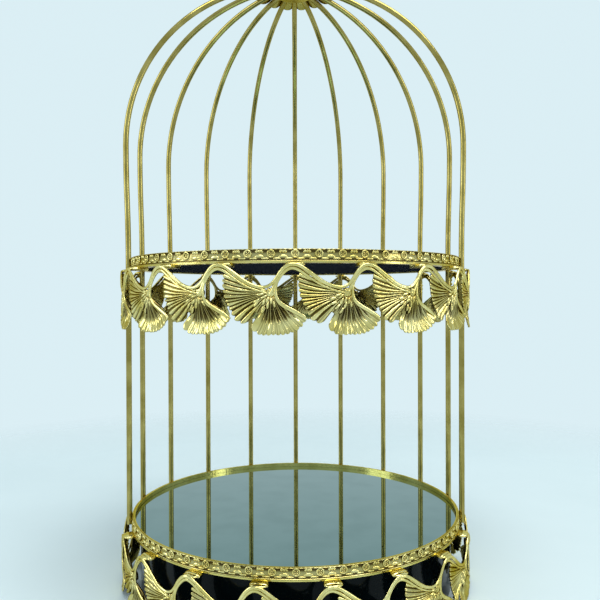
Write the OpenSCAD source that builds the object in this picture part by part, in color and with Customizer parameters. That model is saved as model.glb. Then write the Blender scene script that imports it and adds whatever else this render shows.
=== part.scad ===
// Two-tier display stand in the shape of an open-fronted birdcage.
// Two shallow mirror trays hang in a half cage of bent wire under a petal crown,
// and a lace of ginkgo leaves runs round each tray. A black drum carries the stand.
// The origin is at the middle of the base, on the table. The open front faces -Y.

/* [Rings] */
// Outside diameter of both tray rings
ring_d = 250; // [220:5:300]
// Height of a ring, from its lip to its top edge
ring_h = 8.4; // [7:0.1:12]
// Height from the lower ring's top to the upper ring's top
tier_rise = 191; // [150:1:240]
// Thickness of the hoop's wall and ledge
hoop_t = 1; // [0.8:0.1:1.2]
// Width of the ledge that carries the tray
ledge_w = 6; // [4:0.5:10]
// Thickness of the pressed strip round a hoop
strip_t = 0.6; // [0.5:0.1:1]
// Height of the strip's ornament above its face
bead_h = 0.7; // [0.4:0.1:0.8]
// Diameter of a rosette on the strip
rosette_d = 4.8; // [4:0.1:5.4]
// Diameter of the domed beads between rosettes
bead_d = 4.2; // [3:0.1:4.8]

/* [Trays] */
// Thickness of a mirror plate
mirror_t = 2; // [1.5:0.1:2.5]
// Thickness of the black board under a mirror
board_t = 2.2; // [1.5:0.1:2.6]
// Thickness of the wall and the top of the black drum under the lower tray
drum_t = 3; // [2:0.5:6]

/* [Cage] */
// Diameter of the cage wire
wire_d = 4.1; // [3:0.1:5]
// Wires on each side of the one at the back
wires_each_side = 5; // [3:1:6]
// How far the cage swells outward above the upper ring
swell = 1.5; // [0.5:0.1:4]
// Height of the dome's spring line above the upper ring's top
spring_rise = 85; // [60:1:120]

/* [Leaves] */
// Leaves in each band
leaf_count = 18; // [16:1:20]
// Thickness of the leaf plates
leaf_t = 2; // [1.5:0.1:3]
// Height of the ribs above the leaf plates
rib_h = 1.2; // [0.5:0.1:1.5]
// Width of the vine that carries the leaves
vine_w = 2.3; // [1.8:0.1:3]
// Diameter of the bud on each of the vine's arches
bud_d = 3.8; // [3.6:0.1:5]
// Height of the vine's arch above a leaf's heart
arch_rise = 15.8; // [14:0.1:18]
// Height of the vine's valley above a leaf's heart
valley_rise = 3.2; // [2:0.1:5]
// Reach of the side lobe from the heart, at its top corner
side_reach = 31.5; // [28:0.5:33]
// Reach of the side lobe at the notch
side_inner_reach = 25.5; // [22:0.5:28]
// Reach of the lower lobe at the notch
low_inner_reach = 25.2; // [25:0.1:28]
// Reach of the lower lobe at its far corner
low_reach = 27.2; // [25:0.1:27.4]
// Depth of the notch's root from the heart
notch_reach = 14.7; // [8:0.1:18]
// Height of the lower leaves' hearts above the table
heart_h = 26.5; // [26.3:0.1:32]
// How deep the leaf edge dips between two ribs
scallop = 0.9; // [0.3:0.1:1.5]
// Width of the lugs that carry a band
lug_w = 8; // [5:0.5:11]
// Height of the lugs
lug_h = 2.2; // [1.5:0.1:3]

/* [Crown] */
// Diameter of the hub that the wires end in
hub_d = 30; // [28:0.5:36]
// Height of the hub
hub_h = 7; // [6:0.1:10]
// Radius of the petal cap, to the petals' tips
cap_r = 36; // [32:0.5:42]
// Thickness of the petal cap
cap_t = 1.4; // [1:0.1:2]
// Width of a petal at its tip
petal_w = 9; // [7:0.1:9.5]
// Width of a petal's neck
neck_w = 5.6; // [4:0.1:6]
// Radius of the cap's plain middle
cap_middle_r = 19; // [16:0.5:22]
// Diameter of the finial's ball
ball_d = 14; // [10:0.5:18]
// Height of the finial's neck
finial_neck_h = 9; // [6:0.5:14]
// Diameter of the finial's neck at its foot
finial_neck_d = 8.8; // [7:0.1:10]
// Diameter of the finial's foot
finial_foot_d = 16; // [12:0.5:18]
// Height of the finial's foot
finial_foot_h = 2; // [1.5:0.1:3]
// Diameter of the finial's stud
stud_d = 4; // [3:0.1:5]

/* [Clearances] */
// Gap at a welded or soldered seam
seam = 0.05; // [0.02:0.01:0.1]
// Gap round a mirror or a board, and between the drum and the lugs
tray_gap = 0.3; // [0.2:0.05:0.5]
// Gap between a leaf band's arches and the ring above them
band_gap = 0.3; // [0.2:0.05:0.5]
// Gap round the finial's stud
stud_gap = 0.05; // [0.02:0.01:0.1]

/* [Hidden] */
$fn = 96;
wire_count = 2 * wires_each_side + 1;
function two_digits(n) = str(n < 10 ? "0" : "", n);

// How far a bud stands proud of the vine, inside and outside
bud_proud = 0.15;
// How far the vine stands out from the leaves, inside and outside
vine_set = 0.15;
// Angle left between two lengths of vine, inside the bud
vine_break = 0.06;
// How far a cut runs past what it cuts
past = 1;

// Radii, from the middle outward
ring_r = ring_d / 2;
strip_r = ring_r - bead_h;
hoop_r = strip_r - strip_t;
tray_r = hoop_r - hoop_t - tray_gap;
lug_in_r = ring_r - ledge_w;
drum_r = lug_in_r - tray_gap;
wire_r = wire_d / 2;
wire_path_r = ring_r + seam + wire_r;
dome_r = wire_path_r + swell;
band_in_r = wire_path_r + wire_r + seam + bud_proud;
plate_r = band_in_r + leaf_t;
band_r = band_in_r + leaf_t / 2;
rib_r = plate_r + rib_h;
band_out_r = rib_r + vine_set;

// Heights, from the table upward
arch_top = heart_h + arch_rise + bud_d / 2;
lower_ring_z = arch_top + band_gap;
drum_h = lower_ring_z - seam;
upper_ring_z = lower_ring_z + tier_rise;
upper_band_z = upper_ring_z - lower_ring_z;
upper_ring_top = upper_ring_z + ring_h;
spring_z = upper_ring_top + spring_rise;
cap_in_r = dome_r + wire_r + seam;
hub_top = spring_z + sqrt(pow(cap_in_r, 2) - pow(hub_d / 2, 2)) - seam;
cap_top = spring_z + cap_in_r + cap_t;

// Sleeve over each joint between two lengths of a cage wire
joint_skin = 0.04;
joint_h = 0.6;

// Leaves
pitch = 360 / leaf_count;
pitch_w = 2 * PI * band_r / leaf_count;
// Where the valley and the heart lie, as shares of the way between two arches
valley_at = 0.562;
heart_at = 0.683;
heart_x = (heart_at - 0.5) * pitch_w;
// The foot of a leaf's stem, across the heart
stem_foot = [[-3.2, -1], [2.6, -3]];
// Where the stem meets the vine, from the heart, and how far it spreads there
stem_at = 0.09;
stem_spread = [3.4, 1.2];
// Where the stem's left side leaves the valley
stem_root = [-5.5, valley_rise - 0.2];
// Share of a wave by which the vine's outline runs past its arches
vine_over = 0.02;
side_from = 158;
side_to = 229;
low_from = 241;
low_to = 326;
notch_angle = 235;
side_ribs = 6;
low_ribs = 7;
// Points along one scallop of a leaf's edge
scallop_points = 4;
// Steps along one wave of the vine
vine_steps = 18;
// Share of a rib's spacing that its ridge takes
ridge_share = 0.5;
// Where ridges start and stop, from the heart and short of the edge
ridge_start = 5;
ridge_stop = 1.6;

// Ornament on the strip
rosette_count = 3 * leaf_count;
rosette_angle = 360 / rosette_count;
// Each ornament stands on a flat of its own, so the strip is a ring of flats
facet_count = 2 * rosette_count;
// Height of the plain rim along the strip's top edge, and its number of facets
top_rim_h = 1.2;
rim_facets = 256;
strip_foot = hoop_t + seam;
rosette_z = ring_h - top_rim_h - rosette_d / 2 - seam;

// Cage and crown
// Angle above the spring line to which a wire's arc is swept, past the hub's wall
dome_angle = 88;
// Lugs of the upper band on each side of the front, between the last wires
front_lugs = leaf_count / 2 - wires_each_side - 1;
// How far the finial's ball sinks onto its neck
ball_sink = 1;
// Width of the finial's neck under the ball, and of its foot's top, as shares
neck_taper = 0.6;
foot_taper = 0.75;

function lerp(a, b, t) = a + (b - a) * t;
function polar(r, a) = [r * cos(a), r * sin(a)];
// A point laid on the band, seen square on from outside
function wrap(p) = [band_r * sin(p.x / band_r * 180 / PI), p.y];
function wave(s) =
    s < valley_at ? cos(180 * s / valley_at) : -cos(180 * (s - valley_at) / (1 - valley_at));
function vine_y(s) =
    lerp(valley_rise, arch_rise, (1 + wave(max(0, min(1, s)))) / 2);
function vine_point(s, side) =
    let (
        ds = 0.5 / vine_steps,
        run = 2 * ds * pitch_w,
        rise = vine_y(s + ds) - vine_y(s - ds),
        long = norm([run, rise]),
        x = (s - 0.5) * pitch_w - side * vine_w / 2 * rise / long,
        y = vine_y(s) + side * vine_w / 2 * run / long
    ) [x, y];
function lobe_reach(r0, r1, ribs, t) =
    lerp(r0, r1, t) - scallop * (1 - abs(sin(180 * ribs * t)));
function lobe_edge(a0, a1, r0, r1, ribs) = [
    for (i = [0:ribs * scallop_points])
        let (t = i / (ribs * scallop_points))
            polar(lobe_reach(r0, r1, ribs, t), lerp(a0, a1, t))
];

module vine_outline() {
    shares = [for (i = [0:vine_steps]) lerp(-vine_over, 1 + vine_over, i / vine_steps)];
    low_side = [for (s = shares) wrap(vine_point(s, -1))];
    top_side = [for (i = [vine_steps:-1:0]) wrap(vine_point(shares[i], 1))];
    polygon(concat(low_side, top_side));
}

module leaf_outline() {
    edge = concat(
        [[0, 0]],
        lobe_edge(side_from, side_to, side_reach, side_inner_reach, side_ribs),
        [polar(notch_reach, notch_angle)],
        lobe_edge(low_from, low_to, low_inner_reach, low_reach, low_ribs));
    polygon([for (p = edge) wrap([p.x + heart_x, p.y])]);
}

// The leaf's stem, from its heart to the vine
module stem_outline() {
    join_x = stem_at * pitch_w;
    left_x = join_x - stem_spread[0];
    right_x = join_x + stem_spread[1];
    neck = concat(
        stem_foot,
        [[right_x, vine_y(heart_at + stem_at)], [left_x, vine_y(heart_at)], stem_root]);
    polygon([for (p = neck) wrap([p.x + heart_x, p.y])]);
}

module ridges(a0, a1, r0, r1, ribs) {
    for (i = [0:ribs - 1]) {
        mid = lerp(a0, a1, (i + 0.5) / ribs);
        half = (a1 - a0) / ribs * ridge_share / 2;
        reach = lobe_reach(r0, r1, ribs, (i + 0.5) / ribs) - ridge_stop;
        ridge = [polar(ridge_start, mid - half), polar(reach, mid - half),
                 polar(reach, mid + half), polar(ridge_start, mid + half)];
        polygon([for (p = ridge) wrap([p.x + heart_x, p.y])]);
    }
}

// Keeps what of a flat shape lies between two radii and within an angle, bent round the ring
module bent(r0, r1, angle) {
    intersection() {
        rotate([0, 0, -90 - angle / 2])
            rotate_extrude(angle = angle)
                translate([r0, -heart_h])
                    square([r1 - r0, heart_h + arch_rise + 2 * vine_w]);
        rotate([90, 0, 0])
            linear_extrude(r1 + past)
                children();
    }
}

// The bud joins one length of vine to the next at the arch
module bud() {
    rotate([0, 0, pitch / 2])
        translate([0, bud_proud - band_in_r, arch_rise])
            rotate([90, 0, 0])
                cylinder(d = bud_d, h = band_out_r - band_in_r + 2 * bud_proud);
}

module leaf_unit() {
    bent(band_in_r, plate_r, 3 * pitch) {
        leaf_outline();
        stem_outline();
    }
    bent(plate_r - leaf_t / 2, rib_r, 3 * pitch) {
        ridges(side_from, side_to, side_reach, side_inner_reach, side_ribs);
        ridges(low_from, low_to, low_inner_reach, low_reach, low_ribs);
    }
    bent(band_in_r + vine_set, band_out_r, pitch - vine_break)
        vine_outline();
    bud();
}

module leaf_band(base_z, turn) {
    color("gold")
        translate([0, 0, base_z + heart_h])
            for (i = [0:leaf_count - 1])
                rotate([0, 0, turn + i * pitch])
                    leaf_unit();
}

// Lugs stand at the arch tops, where no wire runs
module band_lugs(ring_z, turn, first, last) {
    lug_angle = lug_w / band_in_r * 180 / PI;
    color("goldenrod")
        translate([0, 0, ring_z - lug_h - seam])
            for (i = [first:last])
                rotate([0, 0, -90 + turn + i * pitch - lug_angle / 2])
                    rotate_extrude(angle = lug_angle)
                        translate([lug_in_r, 0])
                            square([band_in_r - bud_proud - seam - lug_in_r, lug_h]);
}

module hoop(ring_z) {
    color("darkgoldenrod")
        translate([0, 0, ring_z])
            rotate_extrude()
                polygon([
                    [hoop_r - hoop_t - ledge_w, 0],
                    [ring_r, 0],
                    [ring_r, hoop_t],
                    [hoop_r, hoop_t],
                    [hoop_r, ring_h - seam],
                    [hoop_r - hoop_t, ring_h - seam],
                    [hoop_r - hoop_t, hoop_t],
                    [hoop_r - hoop_t - ledge_w, hoop_t]]);
}

// A disc with a flat for each ornament, at a given distance from the middle
module flats(distance) {
    corner_r = distance / cos(180 / facet_count);
    polygon([for (i = [0:facet_count - 1]) polar(corner_r, (i + 0.5) * 360 / facet_count)]);
}

// A round boss that stands out of the strip's face, at the front
module strip_ornament(root_d, top_d) {
    sunk = strip_t / 2;
    translate([0, sunk - strip_r, rosette_z])
        rotate([90, 0, 0])
            cylinder(d1 = root_d, d2 = top_d, h = sunk + bead_h - seam);
}

module gallery_strip(ring_z) {
    color("gold")
        translate([0, 0, ring_z]) {
            translate([0, 0, strip_foot])
                linear_extrude(ring_h - top_rim_h / 2 - strip_foot)
                    difference() {
                        flats(strip_r);
                        flats(hoop_r + seam);
                    }
            translate([0, 0, ring_h - top_rim_h])
                linear_extrude(top_rim_h)
                    difference() {
                        circle(r = ring_r - seam, $fn = rim_facets);
                        flats(hoop_r + seam);
                    }
            for (i = [0:rosette_count - 1]) {
                rotate([0, 0, i * rosette_angle])
                    strip_ornament(rosette_d, rosette_d);
                rotate([0, 0, (i + 0.5) * rosette_angle])
                    strip_ornament(bead_d, bead_d / 2);
            }
        }
}

module backing_board(ring_z) {
    color("black")
        translate([0, 0, ring_z + hoop_t])
            cylinder(r = tray_r, h = board_t);
}

// The drum stands on the table, open below, and the lower hoop lies on its top
module base_drum() {
    color("black")
        difference() {
            cylinder(r = drum_r, h = drum_h);
            translate([0, 0, -past])
                cylinder(r = drum_r - drum_t, h = drum_h - drum_t + past);
        }
}

module mirror_plate(ring_z) {
    color("lightsteelblue")
        translate([0, 0, ring_z + hoop_t + board_t])
            cylinder(r = tray_r, h = mirror_t);
}

// A skin-thin sleeve that makes one solid of two lengths of wire that meet end to end
module wire_joint(x, z, lean) {
    translate([x, 0, z])
        rotate([0, lean, 0])
            cylinder(d = wire_d + joint_skin, h = joint_h, center = true);
}

// A bend of wire in the XZ plane, from one angle to another about a centre
module wire_bend(centre_x, centre_z, bend_r, from, to) {
    translate([centre_x, 0, centre_z])
        rotate([90, 0, 0])
            rotate([0, 0, from])
                rotate_extrude(angle = to - from)
                    translate([bend_r, 0])
                        circle(d = wire_d);
}

// Each wire is upright to the upper ring, eases out by the swell and then follows the dome
module cage_wire(i) {
    ease = 2 * atan(swell / spring_rise);
    ease_r = spring_rise / 2 / sin(ease);
    color("gold")
        rotate([0, 0, 90 + (i - 1 - wires_each_side) * pitch])
            difference() {
                union() {
                    translate([wire_path_r, 0, lower_ring_z])
                        cylinder(d = wire_d, h = upper_ring_top - lower_ring_z);
                    wire_bend(wire_path_r + ease_r, upper_ring_top, ease_r, 180 - ease, 180);
                    wire_bend(dome_r - ease_r, spring_z, ease_r, -ease, 0);
                    wire_bend(0, spring_z, dome_r, 0, dome_angle);
                    wire_joint(wire_path_r, upper_ring_top, 0);
                    wire_joint((wire_path_r + dome_r) / 2, upper_ring_top + spring_rise / 2, ease);
                    wire_joint(dome_r, spring_z, 0);
                }
                translate([0, 0, spring_z])
                    cylinder(d = hub_d + 2 * seam, h = 2 * dome_r);
            }
}

module crown_hub() {
    color("darkgoldenrod")
        difference() {
            translate([0, 0, hub_top - hub_h])
                cylinder(d = hub_d, h = hub_h);
            translate([0, 0, hub_top - hub_h - past])
                cylinder(d = stud_d + 2 * stud_gap, h = hub_h + 2 * past);
        }
}

module crown_petal_cap() {
    tip_r = cap_r - petal_w / 2;
    color("goldenrod")
        difference() {
            intersection() {
                difference() {
                    translate([0, 0, spring_z])
                        sphere(r = cap_in_r + cap_t);
                    translate([0, 0, spring_z])
                        sphere(r = cap_in_r);
                }
                translate([0, 0, spring_z + dome_r / 2])
                    linear_extrude(dome_r)
                        union() {
                            circle(r = cap_middle_r);
                            for (i = [0:leaf_count - 1])
                                rotate((i + 0.5) * pitch) {
                                    translate([tip_r, 0])
                                        circle(d = petal_w);
                                    translate([cap_middle_r / 2, -neck_w / 2])
                                        square([tip_r - cap_middle_r / 2, neck_w]);
                                }
                        }
            }
            translate([0, 0, spring_z])
                cylinder(d = stud_d + 2 * stud_gap, h = 2 * dome_r);
        }
}

module crown_finial() {
    color("gold")
        translate([0, 0, cap_top + seam]) {
            cylinder(d1 = finial_foot_d, d2 = finial_foot_d * foot_taper, h = finial_foot_h);
            cylinder(d1 = finial_neck_d, d2 = finial_neck_d * neck_taper, h = finial_neck_h);
            translate([0, 0, finial_neck_h + ball_d / 2 - ball_sink])
                sphere(d = ball_d);
            translate([0, 0, -cap_t - hub_h])
                cylinder(d = stud_d, h = cap_t + hub_h + finial_foot_h / 2);
        }
}

for (i = [1:wire_count])
    cage_wire(i);
base_drum();  // lower_base_drum
hoop(lower_ring_z);  // lower_hoop
gallery_strip(lower_ring_z);  // lower_gallery_strip
backing_board(lower_ring_z);  // lower_backing_board
mirror_plate(lower_ring_z);  // lower_mirror
leaf_band(0, 0);  // lower_leaf_band
band_lugs(lower_ring_z, pitch / 2, 0, leaf_count - 1);  // lower_band_lugs
hoop(upper_ring_z);  // upper_hoop
gallery_strip(upper_ring_z);  // upper_gallery_strip
backing_board(upper_ring_z);  // upper_backing_board
mirror_plate(upper_ring_z);  // upper_mirror
leaf_band(upper_band_z, pitch / 2);  // upper_leaf_band
band_lugs(upper_ring_z, 0, -front_lugs, front_lugs);  // upper_band_lugs
crown_hub();
crown_petal_cap();
crown_finial();
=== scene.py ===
"""The looks of a two-tier birdcage display stand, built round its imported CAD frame.

Shapes are worked out in millimetres and made into meshes in metres. Angles round the
stand are measured from the open front (-Y) towards +X.
"""

import math
import random

import bpy
import numpy as np
from mathutils import Matrix, Vector


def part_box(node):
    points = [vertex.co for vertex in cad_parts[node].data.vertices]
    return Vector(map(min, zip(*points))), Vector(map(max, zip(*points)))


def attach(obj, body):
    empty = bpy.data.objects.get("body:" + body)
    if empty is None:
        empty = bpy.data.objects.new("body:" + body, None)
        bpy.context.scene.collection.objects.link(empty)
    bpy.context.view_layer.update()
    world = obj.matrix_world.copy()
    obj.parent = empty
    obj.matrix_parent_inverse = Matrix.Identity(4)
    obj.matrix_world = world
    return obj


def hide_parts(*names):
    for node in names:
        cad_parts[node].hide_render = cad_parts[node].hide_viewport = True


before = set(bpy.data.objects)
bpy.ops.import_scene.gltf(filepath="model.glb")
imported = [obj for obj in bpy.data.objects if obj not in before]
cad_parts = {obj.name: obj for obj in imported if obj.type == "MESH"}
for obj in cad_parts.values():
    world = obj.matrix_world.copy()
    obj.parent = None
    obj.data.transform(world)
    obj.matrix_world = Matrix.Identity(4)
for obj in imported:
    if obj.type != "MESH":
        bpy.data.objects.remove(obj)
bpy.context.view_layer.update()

MM = 0.001
rng = random.Random(7)


def low_z(node):
    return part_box(node)[0].z / MM


def high_z(node):
    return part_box(node)[1].z / MM


# Sizes of the frame, in millimetres
LOWER_Z = low_z("lower_hoop")
UPPER_Z = low_z("upper_hoop")
RING_H = 8.4
SPRING_RISE = 85.0
SPRING_Z = UPPER_Z + RING_H + SPRING_RISE
STRIP_IN_R = 123.78
ROSETTES = 54
BAND_IN_R = 129.35
BAND_R = 130.35
LEAVES = 18
PITCH = 360 / LEAVES
PITCH_W = 2 * math.pi * BAND_R * PITCH / 360
CAP_IN_R = 130.7

# A leaf's heart: how far it lies from its unit's middle, and below the foot of the ring
HEART_X = 8.33
HEART_DROP = 18.0


# ---------------------------------------------------------------- mesh helpers


class Shape:
    """The vertices, faces and amounts of painted shade of one piece."""

    def __init__(self):
        self.verts, self.faces, self.painted_shade = [], [], []

    def add(self, verts, faces, painted_shade):
        start = len(self.verts)
        self.verts.extend([tuple(v) for v in verts])
        self.faces.extend([tuple(start + i for i in f) for f in faces])
        self.painted_shade.extend(painted_shade)

    def piece(self, name, material, slot, nodes=()):
        mesh = bpy.data.meshes.new(name)
        mesh.from_pydata([(x * MM, y * MM, z * MM) for x, y, z in self.verts], [], self.faces)
        # Each point carries how much painted shade darkens its colour
        values = mesh.attributes.new("painted_shade", "FLOAT", "POINT")
        values.data.foreach_set("value", self.painted_shade)
        mesh.shade_smooth()
        mesh.materials.append(material)
        mesh.update()
        piece = bpy.data.objects.new(name, mesh)
        bpy.context.scene.collection.objects.link(piece)
        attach(piece, "root")
        if nodes:
            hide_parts(*nodes)
        return piece


def grid(rows, cols, round_cols=False, round_rows=False, flip=False):
    """Quads over a grid of rows and columns, numbered row by row."""
    faces = []
    for r in range(rows if round_rows else rows - 1):
        for c in range(cols if round_cols else cols - 1):
            a = r * cols + c
            b = r * cols + (c + 1) % cols
            d = ((r + 1) % rows) * cols + c
            e = ((r + 1) % rows) * cols + (c + 1) % cols
            faces.append((a, d, e, b) if flip else (a, b, e, d))
    return faces


def plate_faces(rows, cols):
    """The faces of a closed plate: front grid, then back grid, then the wall between them."""
    half = rows * cols
    faces = grid(rows, cols)
    faces += [tuple(half + i for i in f) for f in grid(rows, cols, flip=True)]
    rim = list(range(cols))
    rim += [r * cols + cols - 1 for r in range(1, rows)]
    rim += [(rows - 1) * cols + c for c in range(cols - 2, -1, -1)]
    rim += [r * cols for r in range(rows - 2, 0, -1)]
    for a, b in zip(rim, rim[1:] + rim[:1]):
        faces.append((b, a, half + a, half + b))
    return faces


def smoothstep(a, b, x):
    t = np.clip((x - a) / (b - a), 0, 1)
    return t * t * (3 - 2 * t)


def curve(pairs, x):
    """The value at x of a line through pairs of place and value."""
    xs, ys = zip(*pairs)
    return np.interp(x, xs, ys)


def spline(points, steps):
    """A smooth curve through points, with a number of steps between each two."""
    pts = [np.array(p, float) for p in points]
    pts = [2 * pts[0] - pts[1]] + pts + [2 * pts[-1] - pts[-2]]
    out = []
    for i in range(1, len(pts) - 2):
        p0, p1, p2, p3 = pts[i - 1 : i + 3]
        for k in range(steps):
            t = k / steps
            out.append(
                0.5
                * (2 * p1 + (p2 - p0) * t + (2 * p0 - 5 * p1 + 4 * p2 - p3) * t**2
                   + (3 * p1 - p0 - 3 * p2 + p3) * t**3)
            )
    out.append(pts[-2])
    return out


# ------------------------------------------------------------ places on the stand


def around(angle, r, z):
    """The point at an angle in degrees from the front, a radius and a height."""
    a = math.radians(angle)
    return (r * math.sin(a), -r * math.cos(a), z)


def bend(x, y, h, angle, heart_z):
    """A point of a flat band, laid round the ring with its unit's middle at an angle."""
    a = math.radians(angle) + x / BAND_R
    return ((BAND_IN_R + h) * math.sin(a), -(BAND_IN_R + h) * math.cos(a), heart_z + y)


def on_dome(rho, angle, h):
    """A point above the dome's sphere, at a radius and an angle in plan."""
    r = CAP_IN_R + h
    a = math.radians(angle)
    return (rho * math.sin(a), -rho * math.cos(a), SPRING_Z + math.sqrt(r * r - rho * rho))


def shifted(place, x, y):
    """A place function with its middle moved to x, y."""

    def moved(px, py, h):
        return place(x + px, y + py, h)

    return moved


def dome(shape, place, radii, turn=0, rows=4, cols=12, sink=0.0, painted_shade=0.0, square=1.0):
    """A rounded boss: place(x, y, h) puts a flat point with a height on the piece."""

    def soft(v):
        return math.copysign(abs(v) ** square, v)

    def turned(x, y, h):
        return place(x * math.cos(turn) - y * math.sin(turn), x * math.sin(turn) + y * math.cos(turn), h)

    long, wide, high = radii
    verts, shade_paint = [], []
    for r in range(rows):
        a = math.pi / 2 * r / rows
        for c in range(cols):
            b = 2 * math.pi * c / cols
            x = long * soft(math.cos(a)) * soft(math.cos(b))
            y = wide * soft(math.cos(a)) * soft(math.sin(b))
            verts.append(turned(x, y, high * math.sin(a)))
            # Painted shade, strongest at the foot of the boss
            shade_paint.append(painted_shade * (1 - r / rows) ** 2.2)
    tip = len(verts)
    verts.append(place(0, 0, high))
    shade_paint.append(0)
    faces = grid(rows, cols, round_cols=True)
    top = (rows - 1) * cols
    faces += [(top + c, top + (c + 1) % cols, tip) for c in range(cols)]
    foot = len(verts)
    for c in range(cols):
        b = 2 * math.pi * c / cols
        verts.append(turned(long * soft(math.cos(b)), wide * soft(math.sin(b)), -sink))
        shade_paint.append(painted_shade)
    faces += [(foot + c, foot + (c + 1) % cols, (c + 1) % cols, c) for c in range(cols)]
    faces.append(tuple(foot + c for c in range(cols - 1, -1, -1)))
    shape.add(verts, faces, shade_paint)


# ------------------------------------------------------------------- materials


class Nodes:
    """A node tree that is built by short calls."""

    def __init__(self, name):
        self.material = bpy.data.materials.new(name)
        self.material.use_nodes = True
        self.tree = self.material.node_tree
        self.shader = self.tree.nodes["Principled BSDF"]
        coords = self.tree.nodes.new("ShaderNodeTexCoord")
        self.place = coords.outputs["Object"]

    def link(self, a, b):
        self.tree.links.new(a, b)

    def stretched(self, scale):
        node = self.tree.nodes.new("ShaderNodeMapping")
        node.inputs["Scale"].default_value = scale
        self.link(self.place, node.inputs["Vector"])
        return node.outputs["Vector"]

    def noise(self, scale, detail, vector=None):
        node = self.tree.nodes.new("ShaderNodeTexNoise")
        node.inputs["Scale"].default_value = scale
        node.inputs["Detail"].default_value = detail
        self.link(vector or self.place, node.inputs["Vector"])
        return node.outputs["Fac"]

    def span(self, value, low, high, to_low, to_high):
        node = self.tree.nodes.new("ShaderNodeMapRange")
        node.inputs["From Min"].default_value = low
        node.inputs["From Max"].default_value = high
        node.inputs["To Min"].default_value = to_low
        node.inputs["To Max"].default_value = to_high
        self.link(value, node.inputs["Value"])
        return node.outputs["Result"]

    def mix(self, factor, a, b):
        node = self.tree.nodes.new("ShaderNodeMix")
        node.data_type = "RGBA"
        self.link(factor, node.inputs["Factor"])
        for value, socket in ((a, node.inputs["A"]), (b, node.inputs["B"])):
            if isinstance(value, tuple):
                socket.default_value = (*value, 1)
            else:
                self.link(value, socket)
        return node.outputs["Result"]

    def attribute(self, name):
        node = self.tree.nodes.new("ShaderNodeAttribute")
        node.attribute_name = name
        return node.outputs["Fac"]

    def bump(self, height, distance, strength=1.0, normal=None):
        node = self.tree.nodes.new("ShaderNodeBump")
        node.inputs["Distance"].default_value = distance
        node.inputs["Strength"].default_value = strength
        self.link(height, node.inputs["Height"])
        if normal is not None:
            self.link(normal, node.inputs["Normal"])
        return node.outputs["Normal"]

    def set(self, **values):
        for name, value in values.items():
            socket = self.shader.inputs[name.replace("_", " ")]
            if isinstance(value, bpy.types.NodeSocket):
                self.link(value, socket)
            else:
                socket.default_value = (*value, 1) if isinstance(value, tuple) else value


GOLD_BRIGHT = (0.80, 0.71, 0.32)
GOLD_DULL = (0.56, 0.46, 0.13)
# Colour of the painted shade in hollows, creases and under things
PAINTED_SHADE_BROWN = (0.045, 0.026, 0.006)
PLATING_TINT = (0.75, 0.60, 0.28)
SCRATCH_DEPTH = 0.00002


def plated(name, bright, dull, polish, ripple, with_painted_shade=False, drawn=None, cells=420):
    """Gold-coloured plating: two tints in soft clouds, uneven polish and a rippled skin.

    polish is the least and the most roughness. drawn stretches the scratches along a wire.
    """
    n = Nodes(name)
    colour = n.mix(n.span(n.noise(70, 4), 0.35, 0.65, 0, 1), bright, dull)
    # Painted shade: a dark brown mixed into the colour as far as each point's attribute asks
    if with_painted_shade:
        colour = n.mix(n.span(n.attribute("painted_shade"), 0.15, 0.8, 0, 0.95), colour, PAINTED_SHADE_BROWN)
    if drawn is None:
        scratches = n.noise(2600, 2)
    else:
        scratches = n.noise(1, 3, n.stretched(drawn))
    n.set(
        Base_Color=colour,
        Metallic=1.0,
        Specular_Tint=PLATING_TINT,
        Roughness=n.span(n.noise(900, 3), 0.3, 0.7, *polish),
        Normal=n.bump(scratches, SCRATCH_DEPTH, 0.35, n.bump(n.noise(cells, 2), ripple)),
    )
    return n.material


def mirror_glass():
    n = Nodes("mirror_glass")
    smudge = n.span(n.noise(38, 6), 0.42, 0.72, 0, 1)
    # The mirror's dark teal tint is painted shade for the shaded wall it reflects; the smudges are its
    # own
    n.set(
        Base_Color=n.mix(smudge, (0.16, 0.255, 0.24), (0.13, 0.22, 0.205)),
        Metallic=1.0,
        Roughness=n.span(smudge, 0, 1, 0.012, 0.05),
        Normal=n.bump(n.noise(16, 2), 0.00003, 0.4),
    )
    return n.material


def black_board(name, low, high, polish, ripple, shine):
    """Black board: two near-black tints, uneven polish and a fine grain."""
    n = Nodes(name)
    n.set(
        Base_Color=n.mix(n.noise(240, 5), low, high),
        Specular_IOR_Level=shine,
        Roughness=n.span(n.noise(700, 3), 0.3, 0.7, *polish),
        Normal=n.bump(n.noise(1400, 2), ripple, 0.5),
    )
    return n.material


# The wires share the leaves' plating; their darker tints are painted shade for the dark reflections they
# show
shaded_wire_gold = plated(
    "shaded_wire_gold", (0.42, 0.34, 0.11), (0.28, 0.22, 0.055), (0.10, 0.20), 0.00002, drawn=(3200, 3200, 90)
)
ring_gold = plated("ring_gold", (0.72, 0.62, 0.21), (0.54, 0.45, 0.12), (0.12, 0.26), 0.00008)
strip_gold = plated("strip_gold", GOLD_BRIGHT, GOLD_DULL, (0.12, 0.28), 0.00010, with_painted_shade=True)
leaf_gold = plated("leaf_gold", GOLD_BRIGHT, GOLD_DULL, (0.10, 0.22), 0.00032, with_painted_shade=True, cells=300)
crown_gold = plated(
    "crown_gold", (0.60, 0.50, 0.15), (0.42, 0.34, 0.08), (0.12, 0.28), 0.00012, with_painted_shade=True
)
hub_gold = plated("hub_gold", (0.42, 0.34, 0.10), (0.24, 0.18, 0.05), (0.14, 0.30), 0.00012)
mirror = mirror_glass()
board_black = black_board(
    "board_black", (0.001, 0.002, 0.006), (0.003, 0.005, 0.014), (0.75, 0.95), 0.00004, 0.02
)
drum_black = black_board(
    "drum_black", (0.001, 0.002, 0.003), (0.003, 0.007, 0.008), (0.08, 0.16), 0.00001, 0.09
)
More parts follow.
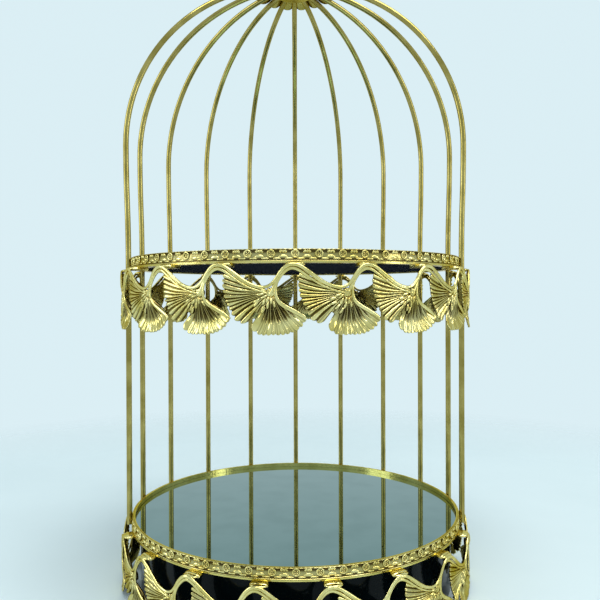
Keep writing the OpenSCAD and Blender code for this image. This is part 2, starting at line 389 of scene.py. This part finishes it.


# ----------------------------------------------------------------- ginkgo leaf

# The three lobes of a leaf:
#   edge    angle round the heart and reach, anticlockwise
#   ribs    widths of the ribs, in the same order
#   rise    height of the sheet, at shares of the reach
#   shade   how much painted shade the lobe gets, at shares of the reach
#   fade    how strong the pleats are, at shares of the reach
#   pleats  height of the pleats, as a share of PLEATS
#   lift    how far the lobe's middle bows outward
SIDE_LOBE = dict(
    edge=((157, 31.0), (167, 30.4), (177, 29.2), (187, 28.3), (197, 27.2), (206, 26.6),
          (214, 27.2), (221, 26.6), (226, 25.4), (231, 23.4)),
    ribs=(1.0, 0.8, 1.15, 0.85, 1.1, 0.75, 1.0, 0.9, 1.35, 1.5, 1.45),
    rise=((0, 2.7), (0.25, 2.2), (0.55, 1.8), (0.8, 1.9), (1, 2.2)),
    shade=((0, 0.3), (0.2, 0.35), (0.5, 0.1), (1, 0.0)),
    fade=((0, 1), (1, 1)),
    pleats=1.0,
    lift=0.35,
)
LOW_LOBE = dict(
    edge=((239, 23.6), (247, 25.2), (256, 25.8), (265, 25.3), (274, 25.0), (283, 25.7),
          (292, 26.4), (302, 26.9), (311, 27.2), (318, 26.7), (326, 26.0)),
    ribs=(1.5, 1.0, 0.8, 1.0, 0.75, 0.95, 0.8, 0.9, 0.8, 1.0, 0.9, 1.3),
    rise=((0, 3.0), (0.18, 2.9), (0.36, 2.2), (0.54, 1.2), (0.66, 0.75), (0.74, 0.95),
          (0.87, 2.15), (1, 3.3)),
    shade=((0, 0.3), (0.2, 0.6), (0.45, 0.8), (0.64, 0.75), (0.73, 0.1), (1, 0.0)),
    fade=((0, 1), (0.68, 1), (0.78, 0.4), (0.95, 0.4), (1, 0.6)),
    pleats=0.85,
    lift=0.15,
)
WEB_LOBE = dict(
    edge=((224, 14.0), (235, 15.5), (246, 14.0)),
    ribs=(1.0, 1.0),
    rise=((0, 1.9), (0.5, 1.5), (1, 1.2)),
    shade=((0, 0.5), (1, 0.5)),
    fade=((0, 1), (1, 1)),
    pleats=0.4,
    lift=0.0,
)
# Height of the pleats along a lobe
PLEATS = ((0, 0.0), (0.12, 0.3), (0.35, 1.1), (0.6, 1.5), (0.8, 1.55), (1, 1.3))
ROWS = (0.1, 0.18, 0.27, 0.36, 0.45, 0.54, 0.62, 0.70, 0.78, 0.86, 0.93, 0.98, 1.0)
RIB_COLS = 8
PLATE_T = 0.7
# How far the edge is drawn in at a valley between two ribs
EDGE_DIP = 1.0
# Where in a rib its splitting line runs, how wide it is and how deep
SPLIT_AT = 0.42
SPLIT_W = 0.09
SPLIT_DEPTH = 0.28
# Heights above the band's inside that a lobe, a leaf and a strand of the vine stay under
LOBE_TOP = 3.42
LEAF_TOP = 3.45
VINE_TOP = 3.46
# Painted shade on the back of every leaf
BACK_PAINTED_SHADE = 0.35


def lobe(edge, ribs, rise, shade, fade, pleats, lift):
    """A pleated lobe as flat grids: x, y, height of the front and the back, and painted shade."""
    ends = np.cumsum((0, *ribs)) / sum(ribs)
    phase = np.arange(len(ribs) * RIB_COLS + 1) / RIB_COLS
    t = np.interp(phase, np.arange(len(ends)), ends)
    # Each rib is rounded, with a sharp valley beside it
    crest = np.abs(np.sin(math.pi * phase)) ** 0.9
    angle = np.radians(edge[0][0] + (edge[-1][0] - edge[0][0]) * t)
    wide = np.interp(phase, np.arange(len(ribs)) + 0.5, ribs)
    reach = curve(edge, np.degrees(angle)) - EDGE_DIP * wide * (1 - crest)
    s = np.array(ROWS)[:, None]
    # The ribs bend a little on their way out
    angle = angle[None, :] + 0.05 * np.sin(math.pi * s) * np.sin(2 * math.pi * t)[None, :]
    r = s * reach[None, :]
    fading = curve(fade, ROWS)[:, None]
    pleat = curve(PLEATS, ROWS)[:, None] * fading * pleats * np.clip(wide, 0.85, 1.25)[None, :]
    # A fine line splits two ribs in three from their middle outward
    split = np.exp(-(((phase % 1) - SPLIT_AT) / SPLIT_W) ** 2) * ((phase.astype(int) * 5) % 3 != 0)
    fork = split[None, :] * smoothstep(0.35, 0.7, s) * SPLIT_DEPTH
    bow = (lift * np.sin(math.pi * t))[None, :] * smoothstep(0.1, 0.6, s)
    # No two ribs are alike, and each swells and sinks a little on its way
    rib = np.minimum(phase.astype(int), len(ribs) - 1)
    uneven = np.array([[rng.uniform(-1, 1) for _ in ribs] for _ in range(3)])
    swell = 0.16 * uneven[0][rib] + 0.16 * np.sin(9 * s + 3 * uneven[1][rib][None, :])
    pleat = pleat * (1 + 0.3 * uneven[2][rib])[None, :]
    front = curve(rise, ROWS)[:, None] + pleat * (crest[None, :] - 0.62) + bow - fork
    front = front + swell * crest[None, :] * smoothstep(0.1, 0.4, s)
    # Painted shade darkens the valleys, patches of the hollows and the splitting lines
    painted_shade = (1 - crest[None, :]) ** 1.1 * smoothstep(0.05, 0.3, s) * fading
    patch = 0.5 + 0.5 * np.sin(5.5 * s + 2.6 * phase[None, :])
    painted_shade = np.maximum(painted_shade, curve(shade, ROWS)[:, None] * (0.55 + 0.45 * patch))
    painted_shade = np.maximum(painted_shade, 0.7 * split[None, :] * smoothstep(0.35, 0.7, s))
    # The very edge is rounded off
    front[-1] -= 0.2
    front = np.clip(front, PLATE_T, LOBE_TOP)
    back = np.maximum(front - PLATE_T, 0.03)
    return r * np.cos(angle), r * np.sin(angle), front, back, painted_shade


LOBES = tuple(
    (lobe(**kind), plate_faces(len(ROWS), len(kind["ribs"]) * RIB_COLS + 1))
    for kind in (SIDE_LOBE, LOW_LOBE, WEB_LOBE)
)


def add_leaf(shape, unit, heart_z):
    """One leaf, turned and leaned a little at random."""
    tilt = math.radians(rng.uniform(-1.2, 1.2))
    swing = rng.uniform(-0.12, 0.12)
    for (x, y, front, back, painted_shade), faces in LOBES:
        xs = (x * math.cos(tilt) - y * math.sin(tilt)).ravel()
        ys = (x * math.sin(tilt) + y * math.cos(tilt)).ravel()
        lean = np.clip(swing * ys / 20, -0.15, 0.15)
        verts = []
        for h in (front, back):
            hs = np.clip(h.ravel() + lean, 0.02, LEAF_TOP)
            verts += [bend(a + HEART_X, b, c, unit, heart_z) for a, b, c in zip(xs, ys, hs)]
        shade_paints = painted_shade.ravel().tolist()
        shape.add(verts, faces, shade_paints + [BACK_PAINTED_SHADE] * len(shade_paints))


def leaves(name, ring_z, turn, node):
    shape = Shape()
    for i in range(LEAVES):
        add_leaf(shape, turn + i * PITCH, ring_z - HEART_DROP)
    return shape.piece(name, leaf_gold, "plated_leaf", (node,))


# ------------------------------------------------------------------------ vine

# The vine's outer strand over one unit, measured from a leaf's heart. It is thin at the
# height VINE_THIN_Y and thickest at the top of an arch, VINE_ARCH_H higher.
VINE = ((-32.5, 16.7), (-29, 16.0), (-25, 13.7), (-21, 10.9), (-17, 8.0), (-12.9, 5.5), (-8.7, 3.9),
        (-4.2, 3.2), (-0.4, 4.4), (2.7, 7.4), (5.1, 11.1), (7.7, 14.3), (10.4, 16.2), (13.0, 16.7))
VINE_THIN_Y = 4.3
VINE_ARCH_H = 12.4
STRAND_SIDES = 10
# The strands of one leaf, measured from its heart. Half width, half height and level are
# given at shares of the strand's length.
# The stem runs from the heart, under the arch, to the next leaf's heart
STEM = dict(
    points=((-0.6, -1.5), (1.2, 1.6), (2.8, 5.0), (4.6, 8.5), (6.8, 11.5), (9.6, 13.8), (12.8, 14.6),
            (16, 13.6), (19.5, 11.4), (23.5, 8.5), (27.5, 5.8), (31.5, 3.7), (35.5, 2.1), (39.5, 0.9),
            (43.5, -0.3)),
    widths=((0, 0.9), (0.1, 1.2), (0.2, 1.3), (0.35, 1.35), (0.5, 1.0), (0.7, 0.7), (1, 0.6)),
    heights=((0, 0.8), (1, 0.7)),
    levels=((0, 2.6), (0.2, 2.2), (0.35, 1.75), (0.5, 2.0), (1, 2.6)),
)
# The seam lies between the vine and the stem
SEAM = dict(
    points=((19.5, 13.0), (23.5, 10.3), (27.5, 7.5), (31.5, 5.2), (35.5, 3.5), (39.5, 2.5), (43, 1.2)),
    widths=((0, 0.25), (0.3, 0.55), (1, 0.4)),
    heights=((0, 0.5), (1, 0.6)),
    levels=((0, 2.5), (1, 2.7)),
)
# The border is the thick right edge of the leaf's lower lobe
BORDER = dict(
    points=((4.4, 7.6), (3.5, 4.4), (3.0, 1.0), (3.4, -2.6), (5.2, -5.6), (8.3, -8.0), (12.9, -10.5),
            (17.2, -12.9), (20.8, -15.4)),
    widths=((0, 0.6), (0.3, 0.9), (0.55, 1.3), (0.85, 1.25), (1, 0.7)),
    heights=((0, 0.6), (1, 0.7)),
    levels=((0, 2.3), (0.3, 2.7), (0.7, 2.5), (1, 2.3)),
)


def tube(shape, path, widths, heights, levels, unit, heart_z, closed):
    """A strand laid on the band. widths and heights are its half sizes along the path."""
    count = len(path)
    band_w = PITCH_W * LEAVES
    verts, painted_shade = [], []
    for i, p in enumerate(path):
        q = path[(i + 1) % count] if closed else path[min(i + 1, count - 1)]
        o = path[i - 1] if closed or i else path[0]
        step = np.array(q) - np.array(o)
        if closed:
            step[0] = (step[0] + band_w / 2) % band_w - band_w / 2
        step = step / np.hypot(*step)
        side = np.array([-step[1], step[0]])
        for k in range(STRAND_SIDES):
            a = 2 * math.pi * k / STRAND_SIDES
            flat = np.array(p) + side * (math.cos(a) * widths[i])
            h = min(levels[i] + math.sin(a) * heights[i], VINE_TOP)
            verts.append(bend(flat[0], flat[1], h, unit, heart_z))
            # Painted shade on the strand's half towards the band and along a line at each side
            painted_shade.append(0.75 * max(0.0, -math.sin(a)) + 0.2 * (abs(math.cos(a)) > 0.95))
    faces = grid(count, STRAND_SIDES, round_cols=True, round_rows=closed, flip=True)
    if not closed:
        last = (count - 1) * STRAND_SIDES
        faces.append(tuple(range(STRAND_SIDES)))
        faces.append(tuple(last + k for k in range(STRAND_SIDES - 1, -1, -1)))
    shape.add(verts, faces, painted_shade)


def running_strand(shape, turn, heart_z):
    """The outer strand, which runs all the way round."""
    one = spline(VINE, 5)[:-1]
    path = [(p[0] + HEART_X + PITCH_W * i, p[1]) for i in range(LEAVES) for p in one]
    arch = [max(0.0, (p[1] - VINE_THIN_Y) / VINE_ARCH_H) for p in path]
    widths = [0.95 + 0.2 * a for a in arch]
    tube(shape, path, widths, [0.78] * len(path), [2.66] * len(path), turn, heart_z, closed=True)


def leaf_strand(shape, turn, heart_z, points, widths, heights, levels):
    """A strand that each leaf has."""
    path = [(p[0] + HEART_X, p[1]) for p in spline(points, 4)]
    at = np.linspace(0, 1, len(path))
    sizes = [curve(pairs, at) for pairs in (widths, heights, levels)]
    for i in range(LEAVES):
        tube(shape, path, *sizes, turn + i * PITCH, heart_z, closed=False)


def vines(name, ring_z, turn):
    shape = Shape()
    heart_z = ring_z - HEART_DROP
    running_strand(shape, turn, heart_z)
    for strand in (STEM, SEAM, BORDER):
        leaf_strand(shape, turn, heart_z, **strand)
    return shape.piece(name, leaf_gold, "plated_leaf")


# ------------------------------------------------------------------- bud knots

# Buds round a leaf's heart: angle, distance, half length, half width, height
BUDS = ((172, 5.0, 3.1, 1.00, 1.25), (193, 6.0, 2.8, 0.95, 1.30), (214, 4.6, 2.5, 0.95, 1.35),
        (231, 6.4, 2.7, 1.00, 1.30), (250, 4.6, 2.3, 0.90, 1.35), (260, 7.6, 2.7, 0.95, 1.25),
        (276, 5.0, 2.2, 0.85, 1.30), (292, 7.0, 2.4, 0.85, 1.15), (205, 9.6, 2.5, 0.90, 1.10),
        (221, 10.8, 2.7, 0.95, 1.10), (238, 10.4, 2.6, 0.92, 1.15), (252, 11.4, 2.5, 0.85, 1.05),
        (130, 1.8, 1.5, 0.80, 1.20), (60, 1.2, 1.1, 0.90, 1.3))
# Levels on the band that the heart's boss and the buds stand on
HEART_LEVEL = 1.9
BUD_LEVEL = 2.1
# The pad that fills the top of an arch, above the leaf's heart
ARCH_PAD_Y = 17.0
# The bead of weld between the ring and an arch: its middle's radius, the radius that its
# length is measured at, and how far it lies under the foot of the ring
BEAD_R = 127.2
BEAD_LENGTH_R = 128.4
BEAD_DROP = 1.5


def on_leaf(unit, heart_z, level):
    """Places x and y from a leaf's heart, and heights from a level on the band."""

    def place(x, y, h):
        return bend(x + HEART_X, y, level + h, unit, heart_z)

    return place


def bud_knot(shape, unit, heart_z):
    """The boss and the buds over a leaf's heart."""
    dome(shape, on_leaf(unit, heart_z, HEART_LEVEL), (3.2, 2.9, 1.0), 0.4, cols=16, sink=1.6, painted_shade=0.7)
    for way, far, long, wide, rise in BUDS:
        way = math.radians(way + rng.uniform(-6, 6))
        middle = (far * math.cos(way), far * math.sin(way))
        lean = way + rng.uniform(-0.25, 0.25)
        place = shifted(on_leaf(unit, heart_z, BUD_LEVEL), *middle)
        dome(shape, place, (long, wide, rise), lean, sink=1.3, painted_shade=1.0)


def arch_pad(shape, unit, heart_z):
    def place(x, y, h):
        return bend(x + PITCH_W / 2, ARCH_PAD_Y + y, h, unit, heart_z)

    dome(shape, place, (5.6, 1.3, 3.0), rows=6, cols=24, sink=0.1)


def weld_bead(shape, at, ring_z):
    def place(x, y, h):
        return around(at + math.degrees(x / BEAD_LENGTH_R), BEAD_R + y, ring_z - BEAD_DROP + h)

    dome(shape, place, (6.0, 3.2, 2.2), rows=7, cols=32, sink=0.1, square=0.5)


def knots(name, ring_z, turn, lug_reach):
    """Bud knots, arch pads and beads of weld. The arches within lug_reach have a lug."""
    shape = Shape()
    for i in range(LEAVES):
        unit = turn + i * PITCH
        bud_knot(shape, unit, ring_z - HEART_DROP)
        arch_pad(shape, unit, ring_z - HEART_DROP)
    for i in range(LEAVES):
        at = (turn + PITCH / 2 + i * PITCH + 180) % 360 - 180
        if abs(at) <= lug_reach:
            weld_bead(shape, at, ring_z)
    return shape.piece(name, leaf_gold, "plated_leaf")


# --------------------------------------------------------------- gallery strip

# Radius of the recess, and the radius that lengths in it are measured at
RECESS_R = 124.2
RECESS_LENGTH_R = 124.5
# Heights out of the recess that the rosettes and the other ornaments stay under
ROSETTE_TOP = 0.74
ORNAMENT_TOP = 0.73
# Cross-section of the strip from its foot, as radius, height above the ring's foot and amount of painted
# shade
STRIP = ((STRIP_IN_R, 1.08, 0), (124.6, 1.08, 0), (124.86, 1.14, 0), (124.93, 1.3, 0),
         (124.86, 1.46, 0), (124.5, 1.56, 0.6), (124.24, 1.7, 1.0), (RECESS_R, 2.0, 1.0),
         (RECESS_R, 3.1, 0.55), (RECESS_R, 4.2, 0.45), (RECESS_R, 5.4, 0.5), (RECESS_R, 6.6, 0.85),
         (RECESS_R, 7.68, 1.0), (124.4, 7.8, 0.6), (124.78, 7.86, 0), (124.93, 8.0, 0),
         (124.9, 8.22, 0), (124.6, 8.36, 0), (124.0, 8.37, 0), (STRIP_IN_R, 8.3, 0),
         (STRIP_IN_R, 5.0, 0))
# Heights above the ring's foot of the painted notch shade, rosettes, bars and fans
NOTCH_SHADE_Z = (7.7, 8.32)
ROSETTE_Z = 5.45
BAR_Z = 2.52
FAN_Z = 6.85
# A rosette's ring: half width, half height, tube, and level of the tube's middle
ROSETTE = (2.1, 2.05)
ROSETTE_TUBE = (0.5, 0.38)
ROSETTE_LEVEL = 0.36
# The leaves of a fan: place, lean and half length
FAN = ((-1.45, 0.75, 1.25), (0, 1.5708, 1.05), (1.45, 2.39, 1.25))
# The half dome under a fan: half width, height of its foot above the ring's foot, and height
SHELL_W = 3.05
SHELL_Z = 3.2
SHELL_H = 1.75


def in_recess(at, z, top):
    """Places x and y in the recess from an angle and a height, and heights out of it."""

    def place(x, y, h):
        return around(at + math.degrees(x / RECESS_LENGTH_R), RECESS_R + min(h, top), z + y)

    return place


def strip_body(shape, ring_z):
    """The plain strip, with painted shade in its recess and in every other column along its top edge,
    where notches would be.
    """
    cols = ROSETTES * 10
    low, high = NOTCH_SHADE_Z
    verts, painted_shade = [], []
    for r, z, shade_paint in STRIP:
        for c in range(cols):
            verts.append(around(360 * c / cols, r, ring_z + z))
            # Painted shade in the recess, and in every other column of the top edge in place of notches
            painted_shade.append(max(shade_paint, 0.75 * (c % 2) * (low < z < high)))
    shape.add(verts, grid(len(STRIP), cols, round_cols=True, round_rows=True), painted_shade)


def rosette(shape, place):
    """A ring with five dots in it."""
    rows, cols = 28, 8
    verts, painted_shade = [], []
    for r in range(rows):
        b = 2 * math.pi * r / rows
        for c in range(cols):
            e = 2 * math.pi * c / cols
            out = ROSETTE_TUBE[0] * math.cos(e)
            x = (ROSETTE[0] + out) * math.cos(b)
            y = (ROSETTE[1] + out) * math.sin(b)
            verts.append(place(x, y, ROSETTE_LEVEL + ROSETTE_TUBE[1] * math.sin(e)))
            # Painted shade on the half of the ring that faces into the recess
            painted_shade.append(0.5 if math.sin(e) < -0.3 else 0.0)
    shape.add(verts, grid(rows, cols, round_cols=True, round_rows=True), painted_shade)
    for x, y in ((-0.72, 0.75), (0.72, 0.75), (-0.72, -0.75), (0.72, -0.75)):
        dome(shape, shifted(place, x, y), (0.55, 0.56, 0.72), rows=3, cols=8, painted_shade=0.5)
    dome(shape, place, (0.4, 0.4, 0.5), rows=2, cols=8, painted_shade=0.5)


def half_dome(shape, place):
    """A half dome that stands on a straight foot."""
    rows, cols = 5, 13

    def edge(a, b, h):
        x = SHELL_W * math.cos(a) * math.cos(b)
        return place(x, SHELL_Z + SHELL_H * math.cos(a) * math.sin(b), h)

    verts, painted_shade = [], []
    for r in range(rows):
        a = math.pi / 2 * r / rows
        for c in range(cols):
            verts.append(edge(a, math.pi * c / (cols - 1), 0.02 + 0.7 * math.sin(a)))
            # Painted shade at the half dome's foot
            painted_shade.append(0.4 * (r == 0))
    tip = len(verts)
    verts.append(place(0, SHELL_Z, 0.72))
    painted_shade.append(0)
    top = (rows - 1) * cols
    faces = grid(rows, cols)
    faces += [(top + c, top + c + 1, tip) for c in range(cols - 1)]
    left = [r * cols for r in range(rows)]
    right = [r * cols + cols - 1 for r in range(rows - 1, -1, -1)]
    faces.append((*left, tip, *right))
    foot = len(verts)
    verts += [edge(0, math.pi * c / (cols - 1), -0.2) for c in range(cols)]
    painted_shade += [0.5] * cols
    faces += [(foot + c, foot + c + 1, c + 1, c) for c in range(cols - 1)]
    faces += [(foot + cols - 1, foot, 0, cols - 1), tuple(range(foot + cols - 1, foot - 1, -1))]
    shape.add(verts, faces, painted_shade)


def strip(name, ring_z, node):
    """A strip of rosettes, with two bars and a fan over a half dome between each two."""
    shape = Shape()
    strip_body(shape, ring_z)
    step = 360 / ROSETTES
    for i in range(ROSETTES):
        at = i * step
        rosette(shape, in_recess(at, ring_z + ROSETTE_Z, ROSETTE_TOP))
        for share in (0.25, 0.75):
            place = in_recess(at + step * share, ring_z + BAR_Z, ORNAMENT_TOP)
            dome(shape, place, (2.5, 0.55, 0.72), rows=3, cols=16, sink=0.1, painted_shade=0.1, square=0.55)
        between = in_recess(at + step / 2, ring_z, ORNAMENT_TOP)
        for x, lean, long in FAN:
            place = shifted(between, x, FAN_Z)
            dome(shape, place, (long, 0.88, 0.72), lean, rows=3, sink=0.1, painted_shade=0.2)
        half_dome(shape, between)
    return shape.piece(name, strip_gold, "plated_strip", (node,))


# ----------------------------------------------------------------------- crown

# Half width of a petal at radii in plan
PETAL_HALF = ((17, 2.7), (20, 2.75), (23, 2.95), (26, 3.5), (29, 4.2), (31, 4.45), (33, 4.2),
              (34.6, 3.3), (35.5, 2.1), (35.9, 0.9))
PETAL_COLS = 11
# The cap's middle: radii in plan and heights above the dome, with rows 5 and 6 fluted
CAP_MIDDLE = ((2.2, 0.5), (4, 0.75), (8.5, 0.75), (9.2, 1.2), (10.2, 1.2), (10.8, 0.7),
              (15.6, 0.7), (16.4, 1.25), (17.8, 1.3), (18.6, 1.0), (18.95, 0.4), (18.95, 0.05),
              (10, 0.05), (2.2, 0.05))
CAP_COLS = 144
# The finial: height of its foot above the dome, the turned foot as radius and height, the
# heights of its rings of painted shade, its ball and the neck that the ball sits on
FINIAL_LIFT = 1.45
FINIAL_FOOT = ((0, 0.02), (7.7, 0.02), (7.95, 0.25), (7.9, 0.7), (7.3, 1.0), (6.6, 1.2), (6.4, 1.6),
               (5.9, 1.95), (4.5, 2.0), (4.1, 2.3), (3.6, 3.0), (3.1, 4.2), (2.75, 5.6), (2.75, 6.3),
               (3.3, 6.5), (3.6, 6.9), (3.3, 7.3), (2.7, 7.5), (2.62, 8.0))
FINIAL_SHADE_RINGS = (1.2, 2.0, 6.3, 7.5)
FINIAL_COLS = 72
BALL_R = 7.0
BALL_ROWS = 24
NECK_R, NECK_Z = FINIAL_FOOT[-1]


def petal(shape, at):
    """A thin petal with a raised rim and a rib along its middle."""
    verts, painted_shade = [], []
    for under in (False, True):
        for rho, half in PETAL_HALF:
            for c in range(PETAL_COLS):
                u = 2 * c / (PETAL_COLS - 1) - 1
                rim = max(0.0, 1 - abs(abs(u) - 0.86) / 0.2)
                rib = max(0.0, 1 - abs(u) / 0.2) * (1 - (rho - 17) / 22)
                h = 0.8 + 0.5 * rim + 0.4 * rib - 0.45 * (abs(u) > 0.98)
                # Painted shade between the rim and the rib on top, and on the underside, more near its
                # edges
                inside = 0.9 * (1 - max(rim, rib)) * (abs(u) < 0.9)
                verts.append(on_dome(rho, at + math.degrees(u * half / rho), 0.04 if under else h))
                painted_shade.append(0.25 + 0.55 * (abs(u) > 0.7) if under else inside)
    faces = [tuple(reversed(f)) for f in plate_faces(len(PETAL_HALF), PETAL_COLS)]
    shape.add(verts, faces, painted_shade)


def cap_middle(shape):
    """The fluted middle of the cap, with a raised rim."""
    verts, painted_shade = [], []
    for k, (rho, h) in enumerate(CAP_MIDDLE):
        for c in range(CAP_COLS):
            flute = 0.3 * abs(math.sin(math.pi * c / 4)) if 5 <= k <= 6 else 0.0
            verts.append(on_dome(rho, 360 * c / CAP_COLS, h + flute))
            # Painted shade at the foot of the inner ridge and in the valleys of the flutes
            painted_shade.append(0.8 if k in (2, 5, 6) and flute < 0.1 else 0.0)
    shape.add(verts, grid(len(CAP_MIDDLE), CAP_COLS, round_cols=True, round_rows=True), painted_shade)


def petals():
    shape = Shape()
    for i in range(LEAVES):
        petal(shape, PITCH / 2 + i * PITCH)
    cap_middle(shape)
    return shape.piece("crown_petals", crown_gold, "plated_crown", ("crown_petal_cap",))


def finial():
    """A turned foot with a lightly fluted ball."""
    foot = SPRING_Z + CAP_IN_R + FINIAL_LIFT
    top = high_z("crown_finial") - foot
    centre = top - BALL_R
    profile = list(FINIAL_FOOT)
    start = math.asin(NECK_R / BALL_R)
    for k in range(1, BALL_ROWS + 1):
        a = math.pi - start - (math.pi - start) * k / BALL_ROWS
        profile.append((BALL_R * math.sin(a), centre + BALL_R * math.cos(a)))
    verts, painted_shade = [], []
    for r, z in profile:
        fluted = (NECK_Z < z < top - 1.5) * (r > 3)
        for c in range(FINIAL_COLS):
            wave = 1 - 0.012 * abs(math.sin(math.pi * c / 6)) * fluted
            verts.append(around(360 * c / FINIAL_COLS, max(r, 0.001) * wave, foot + z))
            painted_shade.append(0.8 if z in FINIAL_SHADE_RINGS else 0.0)
    shape = Shape()
    shape.add(verts, grid(len(profile), FINIAL_COLS, round_cols=True), painted_shade)
    return shape.piece("crown_ball_finial", crown_gold, "plated_crown", ("crown_finial",))


# ------------------------------------------------------------------ all pieces

# Each tier's ring, the angle of its first leaf, and how far round the front its lugs reach
TIERS = (("upper", UPPER_Z, PITCH / 2, 61), ("lower", LOWER_Z, 0, 180))

for tier, ring_z, turn, lug_reach in TIERS:
    leaves(tier + "_ginkgo_leaves", ring_z, turn, tier + "_leaf_band")
    vines(tier + "_vine", ring_z, turn)
    knots(tier + "_bud_knots", ring_z, turn, lug_reach)
for tier, ring_z, *_ in TIERS:
    strip(tier + "_rosette_strip", ring_z, tier + "_gallery_strip")
petals()
finial()


def finish_node(name, material):
    """Give a node of the frame its material."""
    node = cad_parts[name]
    node.data.materials.clear()
    node.data.materials.append(material)


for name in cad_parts:
    if name.startswith("cage_wire"):
        finish_node(name, shaded_wire_gold)
for tier, *_ in TIERS:
    finish_node(tier + "_hoop", ring_gold)
    finish_node(tier + "_band_lugs", leaf_gold)
    finish_node(tier + "_mirror", mirror)
    finish_node(tier + "_backing_board", board_black)
finish_node("crown_hub", hub_gold)
finish_node("lower_base_drum", drum_black)


# ------------------------------------------------------------- table and lights

PALE = (0.71, 0.86, 0.91)
SOFT_LIGHT = 0.55
TABLE_R = 0.8
# The table fades with a value that falls from 1 in its middle to 0 at 1 / FADE_SCALE metres.
# Above WHOLE it is whole, and below FADED it has faded away.
FADE_SCALE = (1.28, 1.28, 1.28)
FADED, WHOLE = 0.03, 0.4

# Lamps: place and size in metres, power in watts, and tint
LAMPS = {
    "ceiling_panel": ((0.25, -0.55, 1.75), (1.5, 0.9), 26, (1, 0.99, 0.96)),
    "left_window": ((-1.7, -0.5, 0.9), (0.7, 1.2), 9, (0.96, 0.99, 1)),
    "right_strip": ((1.6, -0.7, 0.8), (0.3, 1.3), 6, (1, 0.99, 0.96)),
}
LAMP_AIM = (0, 0, 0.2)

# The camera stands before the open front, just below the upper tray
CAMERA_PITCH, CAMERA_YAW, CAMERA_ROLL = 0.35, 0.38, -0.18
CAMERA_PLACE = (0.0002, -0.5185, (LOWER_Z + 171.0) * MM)
CAMERA_SENSOR = 36
CAMERA_LENS = 39.6


def table():
    """A pale table top that fades into the backdrop away from the stand."""
    bpy.ops.mesh.primitive_circle_add(vertices=128, radius=TABLE_R, fill_type="NGON", location=(0, 0, 0))
    disc = bpy.context.object
    disc.name = "table_top"
    n = Nodes("table_top")
    n.set(
        Base_Color=n.mix(n.noise(9, 5), (0.63, 0.74, 0.775), (0.675, 0.79, 0.825)),
        Roughness=n.span(n.noise(30, 3), 0.3, 0.7, 0.50, 0.62),
        Specular_IOR_Level=0.2,
    )
    far = n.tree.nodes.new("ShaderNodeTexGradient")
    far.gradient_type = "SPHERICAL"
    n.link(n.stretched(FADE_SCALE), far.inputs["Vector"])
    clear = n.tree.nodes.new("ShaderNodeBsdfTransparent")
    blend = n.tree.nodes.new("ShaderNodeMixShader")
    n.link(n.span(far.outputs["Fac"], FADED, WHOLE, 0, 1), blend.inputs["Fac"])
    n.link(clear.outputs[0], blend.inputs[1])
    n.link(n.shader.outputs[0], blend.inputs[2])
    n.link(blend.outputs[0], n.tree.nodes["Material Output"].inputs["Surface"])
    disc.data.materials.append(n.material)


def backdrop():
    """A pale backdrop all round, which metal and glass show too. Its light is softer."""
    world = bpy.data.worlds.new("backdrop")
    bpy.context.scene.world = world
    world.use_nodes = True
    tree = world.node_tree
    tree.nodes.clear()

    def new(kind):
        return tree.nodes.new("ShaderNode" + kind)

    def either(a, b):
        node = new("Math")
        node.operation = "MAXIMUM"
        tree.links.new(a, node.inputs[0])
        tree.links.new(b, node.inputs[1])
        return node.outputs[0]

    def background(strength):
        node = new("Background")
        node.inputs["Color"].default_value = (*PALE, 1)
        node.inputs["Strength"].default_value = strength
        return node.outputs[0]

    path = new("LightPath").outputs
    reflected = either(path["Is Glossy Ray"], path["Is Transmission Ray"])
    blend = new("MixShader")
    tree.links.new(either(path["Is Camera Ray"], reflected), blend.inputs["Fac"])
    tree.links.new(background(SOFT_LIGHT), blend.inputs[1])
    tree.links.new(background(1.0), blend.inputs[2])
    tree.links.new(blend.outputs[0], new("OutputWorld").inputs["Surface"])


def softbox(name, place, size, power, tint):
    light = bpy.data.lights.new(name, "AREA")
    light.shape = "RECTANGLE"
    light.size, light.size_y = size
    light.energy = power
    light.color = tint
    lamp = bpy.data.objects.new(name, light)
    bpy.context.scene.collection.objects.link(lamp)
    lamp.location = place
    lamp.rotation_mode = "QUATERNION"
    lamp.rotation_quaternion = (Vector(LAMP_AIM) - Vector(place)).to_track_quat("-Z", "Y")


def camera():
    pitch, yaw, roll = (math.radians(a) for a in (CAMERA_PITCH, CAMERA_YAW, CAMERA_ROLL))
    ahead = Vector((math.sin(yaw) * math.cos(pitch), math.cos(yaw) * math.cos(pitch), -math.sin(pitch)))
    right = Vector((math.cos(yaw), -math.sin(yaw), 0))
    up = right.cross(ahead)
    turned_right = right * math.cos(roll) + up * math.sin(roll)
    turned_up = up * math.cos(roll) - right * math.sin(roll)
    data = bpy.data.cameras.new("camera")
    data.sensor_width = CAMERA_SENSOR
    data.lens = CAMERA_LENS
    data.clip_start, data.clip_end = 0.01, 50
    cam = bpy.data.objects.new("camera", data)
    bpy.context.scene.collection.objects.link(cam)
    turn = Matrix((turned_right, turned_up, -ahead)).transposed().to_4x4()
    cam.matrix_world = Matrix.Translation(CAMERA_PLACE) @ turn
    bpy.context.scene.camera = cam


table()
backdrop()
for name, lamp in LAMPS.items():
    softbox(name, *lamp)
camera()

bpy.context.scene.view_settings.view_transform = "Standard"
